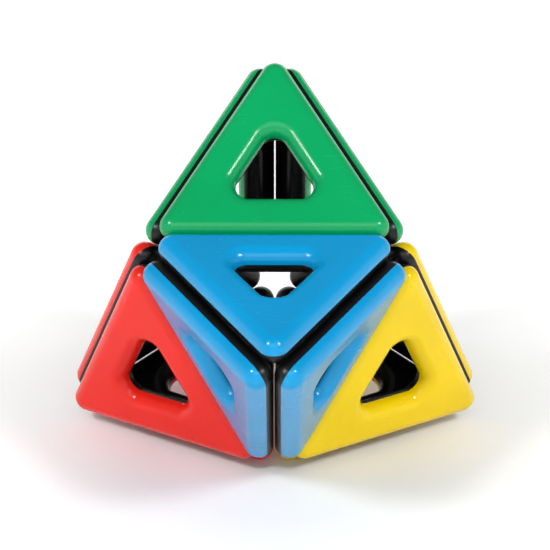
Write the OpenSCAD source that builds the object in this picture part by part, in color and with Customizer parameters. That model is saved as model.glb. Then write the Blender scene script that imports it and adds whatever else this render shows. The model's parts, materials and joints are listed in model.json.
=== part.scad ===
// Pyramid of twelve magnetic triangle panels. Three panels make each of the four tips, and the
// tips meet along the edges of a hollow tetrahedron. A panel is a coloured cover and a black
// tray with a rod magnet loose along each edge, so that neighbouring rims cling and roll.

/* [Panel] */
// Side of the triangle that joins the rim's centre lines
side = 61; // [56:1:72]
// Thickness of a panel, the diameter of its full round rim
thick = 9; // [9:0.5:10]
// Space between the rims of two neighbouring panels
gap = 0.4; // [0.3:0.1:0.8]
// Distance from the panel's middle to a side of the window
window_reach = 8.7; // [7:0.1:9]
// Corner radius of the window
window_corner = 4.4; // [3:0.1:5]

/* [Magnets] */
// Radius of a rod magnet
magnet_r = 2.2; // [1.8:0.05:2.3]
// Length of a rod magnet
magnet_l = 24; // [16:1:30]
// Edge break at the ends of a rod magnet
magnet_chamfer = 0.3; // [0.1:0.1:0.5]
// Radial play of a magnet in its trough
magnet_play = 0.06; // [0.03:0.01:0.1]
// Play of a magnet between the two ends of its trough
end_play = 0.3; // [0.2:0.1:0.6]

/* [Hidden] */
$fn = 48;

// Tips, as numbers into the lists below
BLUE = 0;
GREEN = 1;
RED = 2;
YELLOW = 3;
TIP_COLOURS = [[0.05, 0.58, 0.86], [0.02, 0.62, 0.36], [0.9, 0.18, 0.14], [0.97, 0.84, 0.08]];
TRAY_COLOUR = [0.06, 0.06, 0.065];
MAGNET_COLOUR = [0.78, 0.78, 0.8];

// Each panel's name, its tip, and the tip on the other side of its base edge
PANELS = [
    ["blue_top", BLUE, GREEN],
    ["blue_left", BLUE, RED],
    ["blue_right", BLUE, YELLOW],
    ["green_front", GREEN, BLUE],
    ["green_left", GREEN, RED],
    ["green_right", GREEN, YELLOW],
    ["red_front", RED, BLUE],
    ["red_back", RED, GREEN],
    ["red_bottom", RED, YELLOW],
    ["yellow_front", YELLOW, BLUE],
    ["yellow_back", YELLOW, GREEN],
    ["yellow_bottom", YELLOW, RED]
];
// A panel's edges, seen from outside with its base edge down
EDGES = ["base", "right", "left"];

// A panel's own frame: origin in its middle, +Y to its apex, +Z out of its coloured face
rim_r = thick / 2;
inradius = side / (2 * sqrt(3));
corner_reach = side / sqrt(3);
// Distance from the middle to the centre of a window corner's arc
window_corner_reach = (window_reach - window_corner) * 2;
// The flat face starts this far from that centre
window_rim = window_corner + rim_r;
// The corners' round pieces stand this much proud of the straight ones and cross them cleanly
ball_ease = 0.005;
corner_ease = 0.1;
// The window's rim is this much fuller than a true half round, so it meets the flat face at an angle
flute_ease = 0.02;
trough_l = magnet_l + end_play;

// The closed pyramid. Centre lines of neighbouring rims are thick + gap apart.
pitch_r = (thick + gap) / 2;
half_dihedral = asin(1 / sqrt(3));
side_inset = pitch_r / sin(half_dihedral);
base_inset = pitch_r / sin(3 * half_dihedral);
panel_height = side * sqrt(3) / 2 + 2 * side_inset + base_inset;
// Circumradius of the hollow tetrahedron whose edges carry the base edges
hollow_r = panel_height / sqrt(2);
TIP_DIRS = [
    [0, -1, 0],
    [0, 1 / 3, sqrt(8) / 3],
    [-sqrt(2 / 3), 1 / 3, -sqrt(2) / 3],
    [sqrt(2 / 3), 1 / 3, -sqrt(2) / 3]
];

function unit(v) = v / norm(v);
function outward(p) = unit(2 * TIP_DIRS[p[1]] + 3 * TIP_DIRS[p[2]]);
function to_apex(p) = unit(7 * TIP_DIRS[p[1]] - 3 * TIP_DIRS[p[2]]);
function along_base(p) = cross(to_apex(p), outward(p));
function base_middle(p) = hollow_r * (TIP_DIRS[p[1]] + TIP_DIRS[p[2]]) / 2;
function middle(p) = base_middle(p) + to_apex(p) * (base_inset + inradius);
// Corner k of the rim's centre line, from the apex on round
function corner(p, k) =
    middle(p) + corner_reach * (cos(90 + 120 * k) * along_base(p) + sin(90 + 120 * k) * to_apex(p));

// It stands on four corners of the two bottom panels, two behind and two in front
standing = PANELS[8];
foot_back = corner(standing, 0);
foot_front = corner(standing, corner(standing, 1).y < corner(standing, 2).y ? 1 : 2);
tilt = -atan2(foot_back.z - foot_front.z, foot_back.y - foot_front.y);
corner_places = [for (p = PANELS) for (k = [0:2]) corner(p, k)];
level_y = [for (c = corner_places) c.y * cos(tilt) - c.z * sin(tilt)];
level_z = [for (c = corner_places) c.y * sin(tilt) + c.z * cos(tilt)];
lift = rim_r + ball_ease - min(level_z);
shift_back = -(min(level_y) + max(level_y)) / 2;

// Puts a panel, drawn in its own frame, in its place in the pyramid
module in_place(p) {
    x = along_base(p);
    y = to_apex(p);
    z = outward(p);
    c = middle(p);
    translate([0, shift_back, lift])
        rotate([tilt, 0, 0])
            multmatrix([[x.x, y.x, z.x, c.x], [x.y, y.y, z.y, c.y], [x.z, y.z, z.z, c.z]])
                children();
}

// Quarter disc, one half of a full round rim
module quarter_disc() {
    intersection() {
        circle(rim_r);
        square(rim_r);
    }
}

// Long bar with its profile upright, lying at the given distance from the middle on side k
module side_bar(k, distance) {
    rotate(120 * k - 90)
        translate([distance, corner_reach * 2, 0])
            rotate([90, 0, 0])
                linear_extrude(corner_reach * 4) children();
}

// What a corner of the rim loses: all that lies beyond a ball, in the wedge past both sides
module past_corner() {
    difference() {
        rotate(-60) translate([0, 0, -1]) rotate_extrude(angle = 120) square([2.5 * rim_r, rim_r + 2]);
        sphere(rim_r + ball_ease);
    }
}

// Upper half of a triangular panel with a full round rim and no window
module plain_half() {
    difference() {
        intersection_for(k = [0:2])
            side_bar(k, inradius) {
                translate([-side, 0]) square([side, rim_r]);
                quarter_disc();
            }
        for (k = [0:2]) rotate(120 * k + 90) translate([corner_reach, 0, 0]) past_corner();
    }
}

// What a corner of the window keeps: all that lies beyond a round flare, in the same wedge
module past_window_corner() {
    flare_foot = window_rim + corner_ease;
    translate([0, 0, -1]) difference() {
        rotate(-60) rotate_extrude(angle = 120) square([window_rim + side / 5, rim_r + 2]);
        rotate_extrude()
            difference() {
                square([flare_foot, rim_r + 1]);
                translate([flare_foot, 1]) circle(rim_r + flute_ease);
            }
    }
}

// The window through that half, which flares out over a round rim
module window_half() {
    difference() {
        intersection_for(k = [0:2])
            side_bar(k, window_reach)
                difference() {
                    translate([-side, 0]) square([side + rim_r, rim_r]);
                    translate([rim_r, 0]) circle(rim_r + flute_ease);
                }
        for (k = [0:2]) rotate(120 * k + 90) translate([window_corner_reach, 0, 0]) past_window_corner();
    }
}

// Puts a shape, drawn along Y with +X outward, on the rim's centre line at each edge
module on_edges() {
    for (k = [0:2]) rotate(120 * k - 90) translate([inradius, 0, 0]) children();
}

// Half of a windowed panel, with a trough for a loose magnet along each edge
module half_shell() {
    difference() {
        plain_half();
        window_half();
        on_edges()
            translate([0, trough_l / 2, 0])
                rotate([90, 0, 0])
                    cylinder(r = magnet_r + magnet_play, h = trough_l);
    }
}

// Coloured outer half
module cover() {
    half_shell();
}

// Black inner half, welded to the cover along the parting plane
module tray() {
    mirror([0, 0, 1]) half_shell();
}

// Rod magnet lying on the centre line of edge k
module magnet(k) {
    r = magnet_r;
    l = magnet_l;
    c = magnet_chamfer;
    rotate(120 * k - 90)
        translate([inradius, l / 2, 0])
            rotate([90, 0, 0])
                rotate_extrude()
                    polygon([[0, 0], [r - c, 0], [r, c], [r, l - c], [r - c, l], [0, l]]);
}

for (p = PANELS) {
    color(TIP_COLOURS[p[1]]) in_place(p) cover();
    color(TRAY_COLOUR) in_place(p) tray();
    for (k = [0:2])
        color(MAGNET_COLOUR) in_place(p) magnet(k);
}
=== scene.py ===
"""Pyramid of magnetic triangle tiles on a white studio sheet."""

import json
import math

import bpy
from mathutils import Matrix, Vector


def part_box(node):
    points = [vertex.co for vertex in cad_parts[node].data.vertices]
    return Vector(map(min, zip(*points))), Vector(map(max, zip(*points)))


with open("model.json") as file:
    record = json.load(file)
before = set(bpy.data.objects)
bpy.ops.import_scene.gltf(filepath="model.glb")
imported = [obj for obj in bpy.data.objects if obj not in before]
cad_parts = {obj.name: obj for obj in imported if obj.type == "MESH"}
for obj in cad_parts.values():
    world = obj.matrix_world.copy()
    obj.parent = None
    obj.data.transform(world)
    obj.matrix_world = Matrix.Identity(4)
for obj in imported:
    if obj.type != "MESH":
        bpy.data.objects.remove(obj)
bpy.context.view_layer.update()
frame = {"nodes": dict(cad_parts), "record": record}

# ---------------------------------------------------------------- driving values, in metres and degrees
EDGES = ("base", "right", "left")
CAMERA_DISTANCE = 0.711
CAMERA_ELEVATION = 23.6
CAMERA_AZIMUTH = 0.2
LENS_MM = 148.4
SENSOR_MM = 36.0
SHIFT_X = 0.001
SHIFT_Y = 0.0571
CLIP_START = 0.01
CLIP_END = 50
FLOOR_SIZE = 3.0
# The sheet's own light lifts it to white. It sets in between these distances from the floor's middle,
# so that the pyramid keeps its shade
FLOOR_GLOW = 0.36
FLOOR_GLOW_SPAN = (0.04, 0.17)
# Softboxes: name, azimuth, elevation, distance, width, height, watts
SOFTBOXES = (
    ("key_left", -52, 42, 0.95, 0.2, 0.2, 4.4),
    ("key_right", 52, 42, 0.95, 0.2, 0.2, 4.1),
    ("rim_back", 180, 22, 1.3, 1.6, 0.3, 3.0),
    ("front_fill", 0, 38, 3.0, 2.6, 1.4, 24.0),
)
# The room's light goes from one strength to the other while a direction's Z rises through this span
ROOM_SPAN = (0.05, 0.55)
ROOM_STRENGTH = (1.2, 0.2)

# Base colours, scene-linear
SHELL_COLOURS = {
    "blue_plastic": (0.0, 0.26, 0.54),
    "green_plastic": (0.0, 0.295, 0.09),
    "red_plastic": (0.70, 0.016, 0.008),
    "yellow_plastic": (0.76, 0.53, 0.0),
}
BLACK = (0.0018, 0.0018, 0.0021)
NICKEL = (0.66, 0.64, 0.60)
SHEET_COLOURS = ((0.86, 0.86, 0.86), (0.9, 0.9, 0.9))
# How far the colour of a shell, a tray and a magnet varies, as factors on its base colour
MOTTLE_FACTORS = (0.93, 1.05)
CLOUD_FACTORS = (1.0, 2.2)
TARNISH_FACTORS = (1.0, 0.8)

# Specular level of both plastics, below the shader's own 0.5, for softer highlights
PLASTIC_GLOSS = 0.32
SHELL_ROUGHNESS = 0.17
RUBBED_ROUGHNESS = 0.1
SCRATCH_ROUGHNESS = 0.2
TRAY_ROUGHNESS = (0.26, 0.4)
NICKEL_ROUGHNESS = (0.16, 0.34)
SHEET_ROUGHNESS = (0.7, 0.85)

# Noises: scale per metre, detail, roughness
MOTTLE = (32.0, 3.0, 0.55)
RUBBED = (58.0, 4.0, 0.6)
PEEL = (900.0, 2.0, 0.5)
CLOUD = (45.0, 3.0, 0.5)
GRAIN = (2600.0, 3.0, 0.6)
TARNISH = (220.0, 4.0, 0.6)
GRINDING = (900.0, 2.0, 0.5)
FIBRE = (900.0, 3.0, 0.5)
STREAK = (55.0, 0.0, 0.5)
PATCH = (70.0, 1.0, 0.5)
# Nearly all values of a noise lie in this span
NOISE_SPAN = (0.3, 0.7)
RUBBED_SPAN = (0.35, 0.75)
TARNISH_SPAN = (0.35, 0.7)
PATCH_SPAN = (0.60, 0.70)
# Bumps: height in metres, strength
PEEL_BUMP = (0.00004, 0.06)
SCRATCH_BUMP = (0.00002, 0.12)
GRAIN_BUMP = (0.00002, 0.25)
GRINDING_BUMP = (0.00001, 0.3)
FIBRE_BUMP = (0.0001, 0.1)

# Scratches run where a noise that is squeezed this much crosses its middle value, within this margin
SCRATCH_SQUEEZE = 28
SCRATCH_MARGIN = 0.012
NOISE_MIDDLE = 0.5
# Turns of the scratches' noise, one for each direction that they run in
SHELL_SCRATCH_TURNS = ((20, 35, 0), (-50, 10, 60), (75, -25, 15))
TRAY_SCRATCH_TURNS = ((40, -30, 10), (-15, 65, 40))
GRINDING_TURN = (30, 20, 0)
GRINDING_SQUEEZE = 6


# ---------------------------------------------------------------- frame helpers
def box_middle(node):
    low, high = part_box(node)
    return (low + high) / 2


def mean(points):
    points = list(points)
    return sum(points, Vector((0, 0, 0))) / len(points)


panels = [n[: -len("_cover")] for n in frame["nodes"] if n.endswith("_cover")]
pyramid_middle = mean(box_middle(f"{p}_{e}_magnet") for p in panels for e in EDGES)


# ---------------------------------------------------------------- materials
class Nodes:
    """Short calls for building one material's node tree."""

    def __init__(self, name):
        self.material = bpy.data.materials.new(name)
        self.material.use_nodes = True
        self.tree = self.material.node_tree
        self.shader = self.tree.nodes["Principled BSDF"]
        self.coords = self.add("ShaderNodeTexCoord").outputs["Object"]

    def add(self, kind, **values):
        node = self.tree.nodes.new(kind)
        for key, value in values.items():
            setattr(node, key, value)
        return node

    def link(self, output, socket):
        self.tree.links.new(output, socket)

    def mapped(self, turn=(0, 0, 0), offset=(0, 0, 0), squeeze=1):
        """Object coordinates, squeezed along Z, turned and moved"""
        node = self.add("ShaderNodeMapping")
        node.inputs["Location"].default_value = offset
        node.inputs["Rotation"].default_value = [math.radians(a) for a in turn]
        node.inputs["Scale"].default_value = (1, 1, squeeze)
        self.link(self.coords, node.inputs["Vector"])
        return node.outputs["Vector"]

    def noise(self, vector, scale, detail, rough):
        node = self.add("ShaderNodeTexNoise")
        node.inputs["Scale"].default_value = scale
        node.inputs["Detail"].default_value = detail
        node.inputs["Roughness"].default_value = rough
        self.link(vector, node.inputs["Vector"])
        return node.outputs["Fac"]

    def remap(self, value, span, to=(0.0, 1.0)):
        """Takes the value from one span to another, and holds it at the ends"""
        node = self.add("ShaderNodeMapRange", clamp=True)
        for key, number in zip(("From Min", "From Max", "To Min", "To Max"), (*span, *to)):
            node.inputs[key].default_value = number
        self.link(value, node.inputs["Value"])
        return node.outputs["Result"]

    def math(self, operation, *values):
        node = self.add("ShaderNodeMath", operation=operation)
        for socket, value in zip(node.inputs, values):
            if isinstance(value, (int, float)):
                socket.default_value = value
            else:
                self.link(value, socket)
        return node.outputs["Value"]

    def base_colour(self, factor, a, b):
        """The shader's base colour, from a to b by the factor"""
        node = self.add("ShaderNodeMix", data_type="RGBA")
        self.link(factor, node.inputs["Factor"])
        node.inputs["A"].default_value = (*a, 1)
        node.inputs["B"].default_value = (*b, 1)
        self.link(node.outputs["Result"], self.shader.inputs["Base Color"])

    def bump(self, height, distance, strength, below=None):
        """Normal of a surface that stands the distance proud where the height is 1, on the one below"""
        node = self.add("ShaderNodeBump")
        node.inputs["Distance"].default_value = distance
        node.inputs["Strength"].default_value = strength
        self.link(height, node.inputs["Height"])
        if below is not None:
            self.link(below, node.inputs["Normal"])
        return node.outputs["Normal"]


def hairlines(n, turns):
    """Sparse fine scratches, 1 in a scratch and 0 off it, in patches along their length"""
    total = None
    for k, turn in enumerate(turns):
        # Each direction reads another part of the noise
        streak = n.noise(n.mapped(turn, (0.31 * k, 0.17 * k, 0.11), SCRATCH_SQUEEZE), *STREAK)
        off_middle = n.math("ABSOLUTE", n.math("SUBTRACT", streak, NOISE_MIDDLE))
        line = n.remap(off_middle, (0.0, SCRATCH_MARGIN), (1.0, 0.0))
        patch = n.remap(n.noise(n.mapped(turn, (0.7 * k, 0.4, 0.2)), *PATCH), PATCH_SPAN)
        lines = n.math("MULTIPLY", line, patch)
        total = lines if total is None else n.math("MAXIMUM", total, lines)
    return total


def scaled(colour, factor):
    return tuple(min(1.0, c * factor) for c in colour)


def shell_plastic(name, colour):
    """Glossy injection-moulded plastic: flow mottling, orange peel, rubbed patches and hairlines"""
    n = Nodes(name)
    mottle = n.noise(n.coords, *MOTTLE)
    n.base_colour(n.remap(mottle, NOISE_SPAN), *(scaled(colour, f) for f in MOTTLE_FACTORS))
    scratches = hairlines(n, SHELL_SCRATCH_TURNS)
    rubbed = n.remap(n.noise(n.mapped(offset=(3, 1, 2)), *RUBBED), RUBBED_SPAN)
    shine = n.math("MULTIPLY_ADD", rubbed, RUBBED_ROUGHNESS, SHELL_ROUGHNESS)
    n.link(n.math("MULTIPLY_ADD", scratches, SCRATCH_ROUGHNESS, shine), n.shader.inputs["Roughness"])
    skin = n.bump(n.noise(n.coords, *PEEL), *PEEL_BUMP)
    unscratched = n.math("SUBTRACT", 1.0, scratches)
    n.link(n.bump(unscratched, *SCRATCH_BUMP, skin), n.shader.inputs["Normal"])
    n.shader.inputs["Specular IOR Level"].default_value = PLASTIC_GLOSS
    return n.material


def tray_plastic(name, colour):
    """Black plastic with a faint spark-eroded grain and hairlines"""
    n = Nodes(name)
    cloud = n.noise(n.coords, *CLOUD)
    n.base_colour(n.remap(cloud, NOISE_SPAN), *(scaled(colour, f) for f in CLOUD_FACTORS))
    grain = n.noise(n.coords, *GRAIN)
    shine = n.remap(grain, NOISE_SPAN, TRAY_ROUGHNESS)
    scratches = hairlines(n, TRAY_SCRATCH_TURNS)
    n.link(n.math("MULTIPLY_ADD", scratches, SCRATCH_ROUGHNESS, shine), n.shader.inputs["Roughness"])
    n.link(n.bump(grain, *GRAIN_BUMP), n.shader.inputs["Normal"])
    n.shader.inputs["Specular IOR Level"].default_value = PLASTIC_GLOSS
    return n.material


def nickel(name, colour):
    """Nickel plate on a ground rod: fine grinding marks and dull rubbed patches"""
    n = Nodes(name)
    n.shader.inputs["Metallic"].default_value = 1.0
    tarnish = n.remap(n.noise(n.coords, *TARNISH), TARNISH_SPAN)
    n.base_colour(tarnish, *(scaled(colour, f) for f in TARNISH_FACTORS))
    marks = n.noise(n.mapped(GRINDING_TURN, squeeze=GRINDING_SQUEEZE), *GRINDING)
    n.link(n.remap(marks, NOISE_SPAN, NICKEL_ROUGHNESS), n.shader.inputs["Roughness"])
    n.link(n.bump(marks, *GRINDING_BUMP), n.shader.inputs["Normal"])
    return n.material


def studio_sheet(name):
    """Matt white sheet with a barely visible tooth, and a painted glow of its own that fades out under the
    pyramid
    """
    n = Nodes(name)
    fibre = n.noise(n.coords, *FIBRE)
    n.base_colour(fibre, *SHEET_COLOURS)
    n.link(n.remap(fibre, NOISE_SPAN, SHEET_ROUGHNESS), n.shader.inputs["Roughness"])
    n.link(n.bump(fibre, *FIBRE_BUMP), n.shader.inputs["Normal"])
    n.shader.inputs["Emission Color"].default_value = (1, 1, 1, 1)
    # Painted light: the sheet glows by itself, and the glow fades out under the pyramid, where only the
    # real shade stays
    away = n.add("ShaderNodeVectorMath", operation="LENGTH")
    n.link(n.coords, away.inputs[0])
    glow = n.remap(away.outputs["Value"], FLOOR_GLOW_SPAN, (0.0, FLOOR_GLOW))
    n.link(glow, n.shader.inputs["Emission Strength"])
    return n.material


finishes = {slot: shell_plastic(slot + "_look", colour) for slot, colour in SHELL_COLOURS.items()}
finishes["black_plastic"] = tray_plastic("black_plastic_look", BLACK)
finishes["magnet"] = nickel("nickel_look", NICKEL)
for row in frame["record"]["subparts"]:
    slots = frame["nodes"][row["node"]].data.materials
    slots.clear()
    slots.append(finishes[row["material_slot"]])

# ---------------------------------------------------------------- floor
half = FLOOR_SIZE / 2
floor_corners = [(-half, -half, 0), (half, -half, 0), (half, half, 0), (-half, half, 0)]
floor_mesh = bpy.data.meshes.new("floor")
floor_mesh.from_pydata(floor_corners, [], [(0, 1, 2, 3)])
floor = bpy.data.objects.new("floor", floor_mesh)
bpy.context.scene.collection.objects.link(floor)
floor_mesh.materials.append(studio_sheet("floor_sheet"))


# ---------------------------------------------------------------- light
def aimed(obj, azimuth, elevation, distance):
    """Puts obj at that bearing from the pyramid's middle, facing it. Azimuth 0 is on -Y, + to the right."""
    a, e = math.radians(azimuth), math.radians(elevation)
    away = Vector((math.sin(a) * math.cos(e), -math.cos(a) * math.cos(e), math.sin(e)))
    obj.location = pyramid_middle + away * distance
    obj.rotation_euler = away.to_track_quat("Z", "Y").to_euler()
    bpy.context.scene.collection.objects.link(obj)


for name, azimuth, elevation, distance, width, height, watts in SOFTBOXES:
    softbox = bpy.data.lights.new(name, "AREA")
    softbox.shape = "RECTANGLE"
    softbox.size = width
    softbox.size_y = height
    softbox.energy = watts
    aimed(bpy.data.objects.new(name, softbox), azimuth, elevation, distance)

# The room: white near the horizon, dim overhead, so flat tops keep their full colour
world = bpy.data.worlds.new("studio")
bpy.context.scene.world = world
world.use_nodes = True
tree = world.node_tree
direction = tree.nodes.new("ShaderNodeTexCoord").outputs["Generated"]
split = tree.nodes.new("ShaderNodeSeparateXYZ")
fade = tree.nodes.new("ShaderNodeMapRange")
fade.interpolation_type = "SMOOTHSTEP"
for key, number in zip(("From Min", "From Max", "To Min", "To Max"), (*ROOM_SPAN, *ROOM_STRENGTH)):
    fade.inputs[key].default_value = number
background = tree.nodes["Background"]
tree.links.new(direction, split.inputs[0])
tree.links.new(split.outputs["Z"], fade.inputs["Value"])
tree.links.new(fade.outputs["Result"], background.inputs["Strength"])
background.inputs["Color"].default_value = (1, 1, 1, 1)

# ---------------------------------------------------------------- camera
camera_data = bpy.data.cameras.new("camera")
camera_data.lens = LENS_MM
camera_data.sensor_width = SENSOR_MM
camera_data.shift_x = SHIFT_X
camera_data.shift_y = SHIFT_Y
camera_data.clip_start = CLIP_START
camera_data.clip_end = CLIP_END
camera = bpy.data.objects.new("camera", camera_data)
aimed(camera, CAMERA_AZIMUTH, CAMERA_ELEVATION, CAMERA_DISTANCE)
bpy.context.scene.camera = camera
bpy.context.scene.view_settings.view_transform = "Standard"
